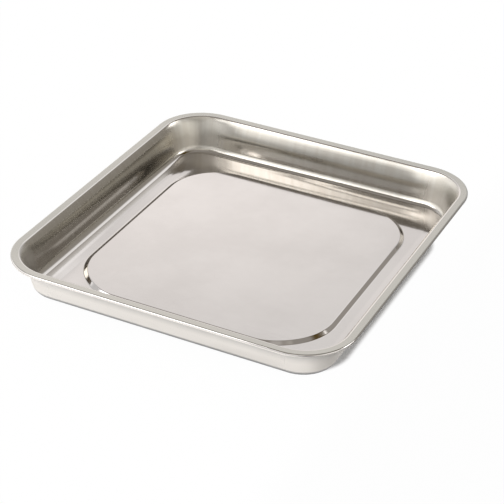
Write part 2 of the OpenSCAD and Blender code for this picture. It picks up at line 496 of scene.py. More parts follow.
def rolled_sheet_group() -> bpy.types.NodeTree:
    """Surface of rolled and pressed sheet, shared by all steel.

    Cloud is soft patches, Grain is noise stretched along the rolling direction, Wave is a slow swell
    of the sheet, and Marks are thin scratches where stretched noise crosses its middle value.

    Returns:
        The node group.
    """
    inputs = {"Cloud scale": 14.0, "Grain scale": 900.0, "Grain length": 40.0, "Wave scale": 22.0}
    inputs |= {"Marks": 0.5}
    group, graph = new_group("rolled_sheet", inputs, ("Cloud", "Grain", "Wave", "Marks"))
    given = graph.add("NodeGroupInput").outputs
    place = graph.add("ShaderNodeTexCoord").outputs["Object"]
    squeeze = graph.math("DIVIDE", 1.0, given["Grain length"])
    stretch = graph.add("ShaderNodeCombineXYZ", {0: squeeze, 1: 1.0, 2: 1.0}).outputs[0]
    along = graph.vector("MULTIPLY", place, stretch)
    turning = {"Vector": place, "Angle": SCRATCH_TURN}
    turned = graph.add("ShaderNodeVectorRotate", turning, rotation_type="Z_AXIS").outputs[0]
    scratch = graph.noise(graph.vector("MULTIPLY", turned, SCRATCH_STRETCH), scale=3.0, detail=2.0)
    offset = graph.math("ABSOLUTE", graph.math("SUBTRACT", scratch, 0.5))
    ends = {
        "Cloud": graph.noise(place, given["Cloud scale"], detail=4.0, roughness=0.6),
        "Grain": graph.noise(along, given["Grain scale"], detail=3.0),
        "Wave": graph.noise(place, given["Wave scale"], detail=1.0),
        "Marks": graph.math("MULTIPLY", graph.remap(offset, SCRATCH_WIDTH, 0.0), given["Marks"]),
    }
    graph.add("NodeGroupOutput", ends)
    return group


def moulded_grain_group() -> bpy.types.NodeTree:
    """Surface of moulded and pressed-powder pieces.

    Cloud is soft patches, Grain is fine isotropic noise and Dust is sparse pale specks.

    Returns:
        The node group.
    """
    inputs = {"Cloud scale": 60.0, "Grain scale": 2500.0, "Dust scale": 700.0}
    group, graph = new_group("moulded_grain", inputs, ("Cloud", "Grain", "Dust"))
    given = graph.add("NodeGroupInput").outputs
    place = graph.add("ShaderNodeTexCoord").outputs["Object"]
    ends = {
        "Cloud": graph.noise(place, given["Cloud scale"], detail=4.0),
        "Grain": graph.noise(place, given["Grain scale"], detail=2.0),
        "Dust": graph.remap(graph.noise(place, given["Dust scale"], detail=3.0), *DUST_SPAN),
    }
    graph.add("NodeGroupOutput", ends)
    return group


@dataclass(frozen=True)
class SteelFinish:
    """A steel surface: two tones of its colour, its span of roughness and how its sheet swells."""

    name: str
    dark: Colour
    pale: Colour
    roughness: tuple[float, float]
    mark_rough: float = 0.08
    grain_mm: float = 0.0006
    wave_mm: float = 0.03
    group_inputs: dict[str, float] = field(default_factory=dict)

    def material(self, group: bpy.types.NodeTree) -> bpy.types.Material:
        """Builds the material from the shared sheet group.

        Args:
            group: The rolled sheet group.

        Returns:
            The material.
        """
        material, graph = new_material(self.name)
        sheet = graph.add("ShaderNodeGroup", self.group_inputs, node_tree=group).outputs
        colour = graph.mix(graph.remap(sheet["Cloud"], *PATCH_SPAN), self.dark, self.pale)
        rough = graph.remap(sheet["Grain"], *GRAIN_SPAN, *self.roughness)
        rough = graph.math("ADD", rough, graph.math("MULTIPLY", sheet["Marks"], self.mark_rough))
        swell = graph.bump(sheet["Wave"], self.wave_mm)
        fine = graph.bump(graph.math("SUBTRACT", sheet["Grain"], sheet["Marks"]), self.grain_mm, swell)
        graph.principled(colour, rough, fine, 1.0)
        return material


def draw_lines_group() -> bpy.types.NodeTree:
    """Marks of deep drawing, which run up the walls of the pan.

    The "draw" map holds a point's place on the rim line and its way along the section, so noise that is
    fine along the rim and long on the way up gives upright lines. Broad is a few millimetres wide and
    Fine is hairlines. Roll is a slow swell that runs along the walls, and Corner is where the walls turn.
    The painted shade output is the share where the sheet faces down, which takes a dark tone painted in
    as shade. The "zone" map holds the shares of rim, inner wall and outside.

    Returns:
        The node group.
    """
    inputs = {"Broad scale": 260.0, "Fine scale": 1100.0, "Length": 0.05, "Roll scale": 9.0}
    outputs = ("Broad", "Fine", "Roll", "Corner", "Painted shade", "Rim", "Wall", "Outside")
    group, graph = new_group("draw_lines", inputs, outputs)
    given = graph.add("NodeGroupInput").outputs
    place = graph.add("ShaderNodeAttribute", attribute_name="draw").outputs["Vector"]
    stretch = graph.add("ShaderNodeCombineXYZ", {0: 1.0, 1: 1.0, 2: given["Length"]}).outputs[0]
    along = graph.vector("MULTIPLY", place, stretch)
    ways = graph.split(graph.add("ShaderNodeTexCoord").outputs["Normal"])
    askew = graph.math("ABSOLUTE", graph.math("MULTIPLY", ways[0], ways[1]))
    shares = graph.split(graph.add("ShaderNodeAttribute", attribute_name="zone").outputs["Vector"])
    rolled = graph.vector("MULTIPLY", place, ROLL_STRETCH)
    ends = {
        "Broad": graph.noise(along, given["Broad scale"], detail=3.0),
        "Fine": graph.noise(along, given["Fine scale"], detail=2.0),
        "Roll": graph.noise(rolled, given["Roll scale"], detail=1.0),
        "Corner": graph.remap(askew, *CORNER_SPAN),
        # painted shade: share of the dark underside tone, which grows as the sheet faces down
        "Painted shade": graph.remap(ways[2], *PAINTED_SHADE_SPAN),
        "Rim": shares[0],
        "Wall": shares[1],
        "Outside": shares[2],
    }
    graph.add("NodeGroupOutput", ends)
    return group


@dataclass(frozen=True)
class DrawnFinish:
    """The pan's steel: satin floor, drawn walls, burnished rim, an outside in pale tones that paint light on
    it, and an underside in a dark tone that paints shade.

    Tones come in pairs that soft patches or upright lines mix. Roughness runs over a span on the floor and
    the walls, and grows in the corners. Heights are those of the grain, swell, rolls and lines.
    """

    name: str
    floor: tuple[Colour, Colour]
    wall: tuple[Colour, Colour]
    rim: Colour
    # painted light: pale tones that make the outside walls read brightly lit
    outside: tuple[Colour, Colour]
    # painted shade: dark tone laid where the sheet faces down
    under: Colour
    floor_rough: tuple[float, float]
    wall_rough: tuple[float, float]
    corner_rough: float
    rim_rough: float
    mark_rough: float
    grain_mm: float
    wave_mm: float
    roll_mm: float
    line_mm: float

    def material(self, sheet_group: bpy.types.NodeTree, line_group: bpy.types.NodeTree) -> bpy.types.Material:
        """Builds the material from the rolled sheet and the draw lines.

        Args:
            sheet_group: The rolled sheet group.
            line_group: The draw lines group.

        Returns:
            The material.
        """
        material, graph = new_material(self.name)
        sheet = graph.add("ShaderNodeGroup", node_tree=sheet_group).outputs
        lines = graph.add("ShaderNodeGroup", node_tree=line_group).outputs
        walls = graph.mix(graph.remap(lines["Broad"], *STREAK_SPAN), *self.wall)
        # painted light: the outside takes its pale tones here
        outside = graph.mix(graph.remap(lines["Roll"], *PATCH_SPAN), *self.outside)
        colour = graph.mix(graph.remap(sheet["Cloud"], *PATCH_SPAN), *self.floor)
        colour = graph.mix(lines["Wall"], colour, walls)
        colour = graph.mix(lines["Rim"], colour, self.rim)
        colour = graph.mix(lines["Outside"], colour, outside)
        # painted shade: the dark underside tone goes in where the sheet faces down
        colour = graph.mix(lines["Painted shade"], colour, self.under)
        drawn = graph.math("MAXIMUM", lines["Wall"], lines["Outside"])
        satin = graph.remap(sheet["Grain"], *GRAIN_SPAN, *self.floor_rough)
        satin = graph.math("ADD", satin, graph.math("MULTIPLY", sheet["Marks"], self.mark_rough))
        hair = graph.remap(lines["Fine"], *GRAIN_SPAN, *self.wall_rough)
        hair = graph.math("ADD", hair, graph.math("MULTIPLY", lines["Corner"], self.corner_rough))
        rough = graph.add("ShaderNodeMix", {0: drawn, 2: satin, 3: hair}).outputs[0]
        rough = graph.add("ShaderNodeMix", {0: lines["Rim"], 2: rough, 3: self.rim_rough}).outputs[0]
        normal = graph.bump(sheet["Wave"], self.wave_mm)
        normal = graph.bump(graph.math("MULTIPLY", lines["Roll"], drawn), self.roll_mm, normal)
        normal = graph.bump(graph.math("MULTIPLY", lines["Broad"], drawn), self.line_mm, normal)
        fine = graph.math("SUBTRACT", sheet["Grain"], sheet["Marks"])
        fine = graph.math("MULTIPLY", fine, graph.math("SUBTRACT", 1.0, drawn))
        normal = graph.bump(fine, self.grain_mm, normal)
        graph.principled(colour, rough, normal, 1.0)
        return material


@dataclass(frozen=True)
class MouldedFinish:
    """A moulded or pressed-powder surface, not metal."""

    name: str
    dark: Colour
    pale: Colour
    dusty: Colour
    roughness: tuple[float, float]
    dust_share: float = 0.5
    grain_mm: float = 0.02

    def material(self, group: bpy.types.NodeTree) -> bpy.types.Material:
        """Builds the material from the shared moulded grain group.

        Args:
            group: The moulded grain group.

        Returns:
            The material.
        """
        material, graph = new_material(self.name)
        grain = graph.add("ShaderNodeGroup", node_tree=group).outputs
        colour = graph.mix(graph.remap(grain["Cloud"], *PATCH_SPAN), self.dark, self.pale)
        colour = graph.mix(graph.math("MULTIPLY", grain["Dust"], self.dust_share), colour, self.dusty)
        rough = graph.remap(grain["Cloud"], *PATCH_SPAN, *self.roughness)
        graph.principled(colour, rough, graph.bump(grain["Grain"], self.grain_mm), 0.0)
        return material


PRESSED_STEEL = DrawnFinish(
    name="pressed_steel",
    floor=((0.525, 0.5, 0.485, 1.0), (0.565, 0.54, 0.525, 1.0)),
    wall=((0.415, 0.39, 0.348, 1.0), (0.44, 0.42, 0.38, 1.0)),
    rim=(0.41, 0.4, 0.37, 1.0),
    # painted light: outside tones far paler than the inner sheet's, so the outer walls read brightly lit
    outside=((0.9, 0.865, 0.825, 1.0), (0.98, 0.945, 0.905, 1.0)),
    # painted shade: a dark tone where the sheet faces down, so the pan's foot and underside read as shaded
    under=(0.3, 0.3, 0.305, 1.0),
    floor_rough=(0.05, 0.085),
    wall_rough=(0.125, 0.14),
    corner_rough=0.26,
    rim_rough=0.2,
    mark_rough=0.05,
    grain_mm=0.0002,
    wave_mm=0.02,
    roll_mm=0.12,
    line_mm=0.001,
)
ZINC_STEEL = SteelFinish(
    name="zinc_steel",
    dark=(0.48, 0.49, 0.49, 1.0),
    pale=(0.62, 0.62, 0.60, 1.0),
    roughness=(0.26, 0.40),
    group_inputs={"Cloud scale": 160.0, "Grain scale": 2500.0, "Grain length": 2.0},
)
CUP_STEEL = SteelFinish(
    name="cup_steel",
    dark=(0.50, 0.50, 0.49, 1.0),
    pale=(0.64, 0.63, 0.61, 1.0),
    roughness=(0.20, 0.32),
    group_inputs={"Cloud scale": 90.0, "Grain scale": 1600.0, "Grain length": 6.0},
)
BLACK_RUBBER = MouldedFinish(
    name="black_rubber",
    dark=(0.010, 0.010, 0.011, 1.0),
    pale=(0.022, 0.022, 0.023, 1.0),
    dusty=(0.09, 0.085, 0.08, 1.0),
    roughness=(0.55, 0.72),
)
FERRITE = MouldedFinish(
    name="ferrite",
    dark=(0.030, 0.030, 0.033, 1.0),
    pale=(0.055, 0.055, 0.058, 1.0),
    dusty=(0.12, 0.12, 0.12, 1.0),
    roughness=(0.50, 0.66),
    grain_mm=0.012,
)


# The pan


@dataclass(frozen=True)
class FloorSpring:
    """How the floor has sprung around the panel: tilt and rise to the wall in degrees, and drops in mm."""

    tilt: float
    rise: float
    wall_drop: float
    panel_drop: float


@dataclass(frozen=True)
class Pan:
    """The drawn pan, with sizes in millimetres, heights from the ground and the rim's turns in degrees.

    The floor starts to rise at rise_in before the wall. Shading turns from the walls into the corners over
    the length ease. The panel's edge reaches front_reach further at the front, less towards the sides by
    front_power. The back's spring grows along back_span.
    """

    width: float = 270.0
    depth: float = 290.0
    well_h: float = 28.2
    corner_r: float = 40.0
    sheet_t: float = 0.6
    wall_draft: float = math.radians(10.0)
    floor_r: float = 6.2
    rim_w: float = 5.7
    rim_dip: float = math.radians(3.0)
    rim_turns: tuple[float, ...] = (43.0, 19.5, 14.5)
    rim_radii: tuple[float, ...] = (2.0, 14.5, 50.0)
    rise_r: float = 60.0
    rise_in: float = 11.0
    rise_steps: int = 6
    fillet_steps: int = 18
    lip_h: float = 2.0
    lip_r: float = 1.2
    shear_r: float = 0.14
    panel_inset_w: float = 36.0
    panel_inset_d: float = 43.0
    panel_r: float = 42.0
    panel_h: float = 1.2
    panel_slope: float = math.radians(36.0)
    panel_bend_r: float = 1.4
    floor_z: float = 9.7
    corner_steps: int = 36
    side_steps: int = 36
    flat_run: float = 1.0
    flat_shares: tuple[float, ...] = (0.0, 0.3, 0.6, 0.85)
    ring_shares: tuple[float, ...] = (0.33, 0.67)
    ease: float = 22.0
    front_reach: float = 2.3
    front_power: int = 8
    even: FloorSpring = FloorSpring(tilt=0.0, rise=1.2, wall_drop=0.7, panel_drop=0.9)
    left: FloorSpring = FloorSpring(tilt=3.8, rise=5.0, wall_drop=0.3, panel_drop=0.95)
    back: FloorSpring = FloorSpring(tilt=0.0, rise=8.0, wall_drop=0.6, panel_drop=0.6)
    back_span: tuple[float, float] = (-70.0, 50.0)
    upright_span: tuple[float, float] = (0.2, 0.8667)

    @property
    def rim_z(self) -> float:
        """Height of the rim."""
        return self.floor_z + self.well_h

    @property
    def rim_centre(self) -> np.ndarray:
        """Half distances between the centres of the rim's corners."""
        return np.array([self.width, self.depth]) / 2 - self.corner_r

    @property
    def panel_centre(self) -> np.ndarray:
        """Half distances between the centres of the panel's corners."""
        inset = np.array([self.panel_inset_w, self.panel_inset_d])
        return np.array([self.width, self.depth]) / 2 - inset - self.panel_r

    def rim_corners(self) -> tuple[list[Bend], np.ndarray]:
        """Corners of the bends from the rim down to the wall.

        The rim dips inwards a little. Each bend turns the way down by its own angle a on its own radius r,
        so its corner lies r tan(a / 2) on from where it starts.

        Returns:
            The corners from the rim down, and the point where the wall starts.
        """
        corners, angle = [], self.rim_dip
        point = np.array([self.corner_r - self.rim_w, self.rim_z - self.rim_w * math.tan(angle)])
        for turn, radius in zip(np.radians(self.rim_turns), self.rim_radii):
            run = radius * math.tan(turn / 2)
            corner = point - run * np.array([math.cos(angle), math.sin(angle)])
            angle += turn
            point = corner - run * np.array([math.cos(angle), math.sin(angle)])
            corners.append(Bend(*corner.tolist(), radius))
        return corners, point

    def wall_line(self, spring: FloorSpring) -> SectionLine:
        """Section from the floor's upper side, round the rim and back to the floor's underside.

        The floor comes in at its tilt, turns in a long arc to its rise and meets the wall in the fillet. The
        wall leans by the draft up to the rim's bends. Both sides of each bend share one centre, so the sheet
        keeps its thickness.

        Args:
            spring: How the floor has sprung there.

        Returns:
            The section, across from the centre of a rim corner.
        """
        tilt, rise = math.tan(math.radians(spring.tilt)), math.tan(math.radians(spring.rise))
        lean, low = math.tan(self.wall_draft), self.floor_z - spring.wall_drop
        bends, wall_top = self.rim_corners()
        start = wall_top[0] - (wall_top[1] - low) * lean - self.rise_in
        meet = self.rise_in / (1.0 - lean * rise)
        lead = self.rise_r * math.tan(math.radians(self.back.rise) / 2) + self.flat_run
        upper = [
            Bend(start - lead, low - lead * tilt),
            Bend(start, low, self.rise_r, self.rise_steps),
            Bend(start + meet, low + meet * rise, self.floor_r, self.fillet_steps),
            *reversed(bends),
            Bend(self.corner_r, self.rim_z, self.lip_r),
            Bend(self.corner_r, self.rim_z - self.lip_h),
        ]
        under = far_side(upper, self.sheet_t)
        upper[-1] = replace(upper[-1], radius=self.shear_r)
        under[-1] = replace(under[-1], radius=self.shear_r)
        return trace([*upper, *reversed(under)])

    def panel_line(self, drop: float, spring: FloorSpring) -> SectionLine:
        """Section of the panel's edge, from its flat top out to the floor.

        Args:
            drop: How far below the upper side it lies.
            spring: How the floor around it has sprung.

        Returns:
            The section, across from the centre of a panel corner.
        """
        half_run = self.panel_h / math.tan(self.panel_slope) / 2
        tangent = self.panel_bend_r * math.tan(self.panel_slope / 2)
        top = self.floor_z + self.panel_h - drop
        low = self.floor_z - drop - spring.panel_drop
        extra = spring.panel_drop / math.tan(self.panel_slope)
        return trace(
            [
                Bend(self.panel_r - half_run - tangent - self.flat_run, top),
                Bend(self.panel_r - half_run, top, self.panel_bend_r),
                Bend(self.panel_r + half_run + extra, low, self.panel_bend_r),
                Bend(self.panel_r + half_run + extra + tangent + self.flat_run, low),
            ]
        )

    def zones(self, wall: SectionLine) -> np.ndarray:
        """Shares of rim, inner wall and outside for each point of the wall's section.

        The inner wall's share grows over upright_span of the part by which a point faces inwards.

        Args:
            wall: The wall's section.

        Returns:
            The shares, (N, 3).
        """
        edge = np.argmax(wall.points[:, 0] > self.corner_r - SECTION_SLACK)
        outside = np.arange(len(wall.points)) >= edge
        rim_foot = self.rim_z - self.rim_w * math.tan(self.rim_dip)
        flat_rim = (wall.points[:, 1] > rim_foot - SECTION_SLACK) & ~outside
        upright = np.interp(-wall.facing[:, 0], self.upright_span, (0.0, 1.0)) * ~outside
        return np.stack([flat_rim, upright, outside], axis=-1).astype(float)

    def columns(self, spring: FloorSpring) -> tuple[np.ndarray, ...]:
        """Every column of the pan's grid, from the middle of its floor to the middle of its underside.

        A column has the corner centre that it is measured from, its section point, its facing, its zones and
        its share of the panel's reach. Flat columns scale the panel's first point towards the middle, and the
        ring of floor goes evenly from the panel's centres and foot to the rim's.

        Args:
            spring: How the floor has sprung.

        Returns:
            Centres, points and facings, each (N, 2), zones (N, 3), and shares of the reach (N,).
        """
        wall = self.wall_line(spring)
        tilt = math.radians(spring.tilt)
        share = np.array(self.flat_shares)[:, None]
        ring = np.array(self.ring_shares)[:, None]
        rows = []
        for drop, facing_up, start in ((0.0, 1.0, wall.points[0]), (self.sheet_t, -1.0, wall.points[-1])):
            line = self.panel_line(drop, spring)
            edge = line.points
            flat = np.concatenate([share * edge[0, 0], np.full_like(share, edge[0, 1])], axis=1)
            floor = edge[-1] + ring * (start - edge[-1])
            centres = np.concatenate(
                [
                    share * self.panel_centre,
                    np.tile(self.panel_centre, (len(edge), 1)),
                    self.panel_centre + ring * (self.rim_centre - self.panel_centre),
                ]
            )
            level, tilted = np.array([[0.0, 1.0]]), np.array([[-math.sin(tilt), math.cos(tilt)]])
            facing = facing_up * np.concatenate(
                [np.repeat(level, len(flat), 0), line.facing, np.repeat(tilted, len(floor), 0)]
            )
            zones = np.zeros((len(centres), 3))
            zones[:, 2] = facing_up < 0
            reach = np.concatenate([share[:, 0], np.ones(len(edge)), 1.0 - ring[:, 0]])
            rows.append((centres, np.concatenate([flat, edge, floor]), facing, zones, reach))
        wall_centres, still = np.tile(self.rim_centre, (len(wall.points), 1)), np.zeros(len(wall.points))
        wall_row = (wall_centres, wall.points, wall.facing, self.zones(wall), still)
        below = tuple(part[::-1] for part in rows[1])
        return tuple(np.concatenate(parts) for parts in zip(rows[0], wall_row, below))

    def sides(self, rim_line: np.ndarray, outward: np.ndarray) -> tuple[np.ndarray, np.ndarray]:
        """Shares of the left and the back side at each station.

        Each side weighs in by the square of its part of the outward direction. Along the back the share
        grows smoothly over back_span, by 3 w^2 - 2 w^3 for the way w through it.

        Args:
            rim_line: Points of the rim line, (S, 2).
            outward: Outward directions, (S, 2).

        Returns:
            The left and the back share, each (S, 1, 1).
        """
        first, last = self.back_span
        way = np.clip((rim_line[:, 0] - first) / (last - first), 0.0, 1.0)
        left = np.where(outward[:, 0] < 0, outward[:, 0] ** 2, 0.0)
        back = np.where(outward[:, 1] > 0, outward[:, 1] ** 2, 0.0) * way * way * (3.0 - 2.0 * way)
        return left[:, None, None], back[:, None, None]

    def eased(self, rim_line: np.ndarray, outward: np.ndarray) -> np.ndarray:
        """Outward directions averaged along the rim, so that the walls turn gently into their corners.

        A station at the distance d along the closed rim weighs exp(-(d / ease)^2) times its spacing.

        Args:
            rim_line: Points of the rim line, (S, 2).
            outward: Outward directions, (S, 2).

        Returns:
            The averaged unit directions, (S, 2).
        """
        steps = np.linalg.norm(np.roll(rim_line, -1, axis=0) - rim_line, axis=1)
        place = np.cumsum(steps) - steps
        gap = np.abs(place[:, None] - place)
        gap = np.minimum(gap, steps.sum() - gap)
        mean = (np.exp(-((gap / self.ease) ** 2)) * (steps + np.roll(steps, 1))) @ outward
        return mean / np.linalg.norm(mean, axis=1, keepdims=True)

    def stations(self) -> tuple[np.ndarray, np.ndarray]:
        """Stations round a rounded rectangle, anticlockwise from the right side.

        In corner k the outward angle goes from k to k + 1 quarter turns while the centre's signs
        stay. Along the side after it the angle stays and the signs go to the next corner's.

        Returns:
            Centre signs (S, 2) and outward angles (S,).
        """
        signs, angles = [], []
        corner_signs = np.array([[1.0, 1.0], [-1.0, 1.0], [-1.0, -1.0], [1.0, -1.0]])
        turn = np.linspace(0.0, 1.0, self.corner_steps + 1)
        go = np.linspace(0.0, 1.0, self.side_steps + 1)[1:-1, None]
        for quarter, (here, after) in enumerate(zip(corner_signs, np.roll(corner_signs, -1, axis=0))):
            signs += [np.tile(here, (len(turn), 1)), here + go * (after - here)]
            angles += [(quarter + turn) * math.pi / 2, np.full(len(go), (quarter + 1) * math.pi / 2)]
        return np.concatenate(signs), np.concatenate(angles)

    def surface(self) -> Surface:
        """The whole sheet as one grid: each column's centre and section point carried round the stations.

        A point lies at sign * centre + r * (cos t, sin t), at the section's height. The section is the even
        one, moved towards the left and the back ones by the station's shares. At the front the panel's edge
        reaches further out, by a power of the outward direction. The "draw" map is the rim line's point at
        that station and the length along the section.

        Returns:
            The closed surface in metres.
        """
        signs, angles = self.stations()
        outward = np.stack([np.cos(angles), np.sin(angles)], axis=-1)
        rim_line = signs * self.rim_centre + outward * self.corner_r
        centres, even_points, even_facing, zones, reach = self.columns(self.even)
        points, facing = even_points, even_facing
        for share, spring in zip(self.sides(rim_line, outward), (self.left, self.back)):
            _, sprung_points, sprung_facing, *_ = self.columns(spring)
            points = points + share * (sprung_points - even_points)
            facing = facing + share * (sprung_facing - even_facing)
        facing = facing / np.linalg.norm(facing, axis=-1, keepdims=True)
        plan = signs[:, None, :] * centres + outward[:, None, :] * points[..., :1]
        front = np.clip(-outward[:, 1], 0.0, 1.0) ** self.front_power
        plan[..., 1] -= self.front_reach * front[:, None] * reach
        face_plan = self.eased(rim_line, outward)[:, None, :] * facing[..., :1]
        steps = np.linalg.norm(np.diff(points, axis=1), axis=-1)
        length = np.concatenate([np.zeros((len(steps), 1)), np.cumsum(steps, axis=1)], axis=1)[..., None]
        draw = np.concatenate([np.broadcast_to(rim_line[:, None, :], plan.shape), length], axis=-1) * MM
        return Surface(
            np.concatenate([plan, points[..., 1:]], axis=-1) * MM,
            np.concatenate([face_plan, facing[..., 1:]], axis=-1),
            poles=True,
            maps={"draw": draw, "zone": np.broadcast_to(zones, draw.shape)},
        )

    def build(self, material: bpy.types.Material) -> None:
        """Builds and dresses the pan."""
        piece = make_piece("pan", [self.surface()])
        settle(piece, material, "tray")


# The pods


@dataclass(frozen=True)
class Pods:
    """The four pods under the pan, with the CAD's sizes in millimetres.

    Shares are of the size that they are named for: a groove's half width, or a sheet's thickness.
    """

    place_x: float = 58.0
    place_y: float = 61.0
    seat_z: float = 10.3
    boot_foot_r: float = 28.2
    boot_top_r: float = 27.2
    boot_pocket_r: float = 25.2
    boot_hole_r: float = 11.7
    boot_recess_r: float = 15.7
    boot_base: float = 2.3
    boot_edge_r: float = 1.2
    groove_radii: tuple[float, ...] = (23.233, 19.467)
    groove_w: float = 1.2
    groove_round_share: float = 0.75
    groove_lip_share: float = 0.2
    cup_r: float = 10.7
    cup_t: float = 0.8
    cup_edge_share: float = 0.2
    cup_bend_r: float = 0.8
    cup_flange_r: float = 15.5
    cup_flange_z: float = 1.3
    cup_head_z: float = 9.1
    stud_r: float = 2.5
    stud_z: float = 2.1
    stud_gap: float = 0.15
    stud_flange_r: float = 3.3
    stud_flange_h: float = 0.8
    stud_edge: float = 0.1
    stud_flange_edge: float = 0.3
    stud_tip: float = 0.6
    thread_pitch: float = 0.8
    thread_depth: float = 0.42
    thread_crest: float = 0.12
    thread_flank: float = 0.7
    thread_fade_power: int = 4
    nut_af: float = 8.0
    nut_z: float = 3.3
    nut_h: float = 4.0
    nut_edge: float = 0.08
    nut_mouth: float = 0.24
    washer_r: float = 5.0
    washer_t: float = 1.0
    washer_sharp_share: float = 0.12
    washer_rolled_share: float = 0.3
    soft_edge: float = 0.25
    turn_steps: int = 96
    thread_steps: int = 40
    rows_per_thread: int = 10
    nut_steps: int = 96

    def at_pods(self, surface: Surface) -> list[Surface]:
        """The same surface at each of the four pods."""
        x, y = self.place_x * MM, self.place_y * MM
        return [surface.moved(pod.side[0] * x, pod.side[1] * y) for pod in Pod]

    def boot(self) -> Surface:
        """Rubber boot: a ring section that goes down its flared wall, in under its foot and up its pocket.

        Each grip groove under the foot is a round-bottomed channel half as deep as it is wide.

        Returns:
            The boot's surface on the axis.
        """
        soft, half = self.soft_edge, self.groove_w / 2
        round_r, lip = self.groove_round_share * half, self.groove_lip_share * half
        grooves = [
            bend
            for radius in self.groove_radii
            for bend in (
                Bend(radius + half, 0.0, lip),
                Bend(radius + half, half, round_r),
                Bend(radius - half, half, round_r),
                Bend(radius - half, 0.0, lip),
            )
        ]
        middle = Bend((self.boot_foot_r + self.boot_top_r) / 2, self.seat_z / 2)
        return turn_ring(
            [
                middle,
                Bend(self.boot_foot_r, 0.0, self.boot_edge_r),
                *grooves,
                Bend(self.boot_recess_r, 0.0, soft),
                Bend(self.boot_recess_r, self.cup_flange_z, soft),
                Bend(self.boot_hole_r, self.cup_flange_z, soft),
                Bend(self.boot_hole_r, self.boot_base, soft),
                Bend(self.boot_pocket_r, self.boot_base, soft),
                Bend(self.boot_pocket_r, self.seat_z, soft),
                Bend(self.boot_top_r, self.seat_z, soft),
                middle,
            ],
            self.turn_steps,
        )

    def cup(self) -> Surface:
        """Dished cup: a sheet section from its flange up its wall and in to the hole in its head.

        Returns:
            The cup's surface on the axis.
        """
        edge = self.cup_edge_share * self.cup_t
        inner_r, outer_bend = self.cup_r - self.cup_t, self.cup_bend_r + self.cup_t
        mouth_z, head_under = self.cup_flange_z - self.cup_t, self.cup_head_z - self.cup_t
        hole_r = self.stud_r + self.stud_gap
        middle = Bend(self.cup_flange_r, (mouth_z + self.cup_flange_z) / 2)
        return turn_ring(
            [
                middle,
                Bend(self.cup_flange_r, mouth_z, edge),
                Bend(inner_r, mouth_z, outer_bend),
                Bend(inner_r, head_under, self.cup_bend_r),
                Bend(hole_r, head_under, edge),
                Bend(hole_r, self.cup_head_z, edge),
                Bend(self.cup_r, self.cup_head_z, outer_bend),
                Bend(self.cup_r, self.cup_flange_z, self.cup_bend_r),
                Bend(self.cup_flange_r, self.cup_flange_z, edge),
                middle,
            ],
            self.turn_steps,
        )

    def washer(self) -> Surface:
        """Punched washer: a flat ring, rounder on the edge where the punch went in.

        Returns:
            The washer's surface on the axis.
        """
        sharp, rolled = self.washer_sharp_share * self.washer_t, self.washer_rolled_share * self.washer_t
        top = self.cup_head_z - self.cup_t
        low = top - self.washer_t
        hole_r = self.stud_r + self.stud_gap
        middle = Bend(self.washer_r, (top + low) / 2)
        return turn_ring(
            [
                middle,
                Bend(self.washer_r, low, rolled),
                Bend(hole_r, low, rolled),
                Bend(hole_r, top, sharp),
                Bend(self.washer_r, top, sharp),
                middle,
            ],
            self.turn_steps,
        )

    def stud(self) -> Surface:
        """Weld stud: a turned section from its flange down to its tip, with a thread cut into its shank.

        The thread takes depth * ramp(f) off the radius, where f = height / pitch - angle / turn and ramp is
        a triangle wave with flat crests and roots. It fades in over the first turn from the tip, out below
        the flange, and on the tip's end towards the axis.

        Returns:
            The stud's surface on the axis.
        """
        edge, tip = self.stud_edge, self.stud_tip
        flange_z = self.seat_z - self.stud_flange_h
        line = trace(
            [
                Bend(0.0, self.seat_z),
                Bend(self.stud_flange_r, self.seat_z, edge),
                Bend(self.stud_flange_r, flange_z, self.stud_flange_edge),
                Bend(self.stud_r, flange_z, edge),
                Bend(self.stud_r, self.stud_z + tip, edge),
                Bend(self.stud_r - tip, self.stud_z, edge),
                Bend(0.0, self.stud_z),
            ],
            max_run=self.thread_pitch / self.rows_per_thread,
        )
        angle = np.arange(self.thread_steps)[:, None] / self.thread_steps
        radius, height = line.points[:, 0], line.points[:, 1]
        wave = np.abs(2.0 * ((height / self.thread_pitch - angle) % 1.0) - 1.0)
        ramp = np.clip((wave - self.thread_crest) / self.thread_flank, 0.0, 1.0)
        run_in = np.clip((height - self.stud_z) / self.thread_pitch, 0.0, 1.0)
        run_out = np.clip((flange_z - 2 * edge - height) / edge, 0.0, 1.0)
        on_end = np.clip(radius / self.stud_r, 0.0, 1.0) ** self.thread_fade_power
        cut = np.where(radius <= self.stud_r, run_in * run_out, 0.0) * on_end
        threaded = radius - self.thread_depth * ramp * cut
        around = angle * TAU
        up = np.broadcast_to(height, threaded.shape)
        points = np.stack([threaded * np.cos(around), threaded * np.sin(around), up], axis=-1)
        return Surface(points * MM, None, poles=True)

    def nut(self) -> Surface:
        """Hexagon nut whose corners are turned off at both ends.

        At the angle t the flat lies at half the size across flats, over the cosine of the angle from the
        middle of that flat. The turned cone starts midway between the radii of flats and corners, and rises
        by as much as the flat lies outside it.

        Returns:
            The nut's surface on the axis.
        """
        edge, mouth_h = self.nut_edge, self.nut_mouth
        angle = np.arange(self.nut_steps) * TAU / self.nut_steps
        off_flat = (angle + math.pi / 6) % (math.pi / 3) - math.pi / 6
        flat = self.nut_af / 2 / np.cos(off_flat)
        corner_r = self.nut_af / math.sqrt(3.0)
        cone_r = corner_r - (corner_r - self.nut_af / 2) / 2
        rise = np.maximum(edge, flat - cone_r)
        face_r = np.minimum(cone_r, flat - edge)
        low, top = self.nut_z, self.nut_z + self.nut_h
        bore = self.stud_r + self.stud_gap
        mouth = bore + mouth_h
        ones = np.ones_like(angle)
        radii = (flat, face_r, mouth * ones, bore * ones, bore * ones, mouth * ones, face_r, flat)
        heights = (low + rise, low * ones, low * ones, (low + mouth_h) * ones)
        heights += ((top - mouth_h) * ones, top * ones, top * ones, top - rise)
        radius, height = np.stack(radii, axis=-1), np.stack(heights, axis=-1)
        cos, sin = np.cos(angle)[:, None], np.sin(angle)[:, None]
        points = np.stack([radius * cos, radius * sin, height], axis=-1)
        return Surface(points * MM, None, closed_section=True)

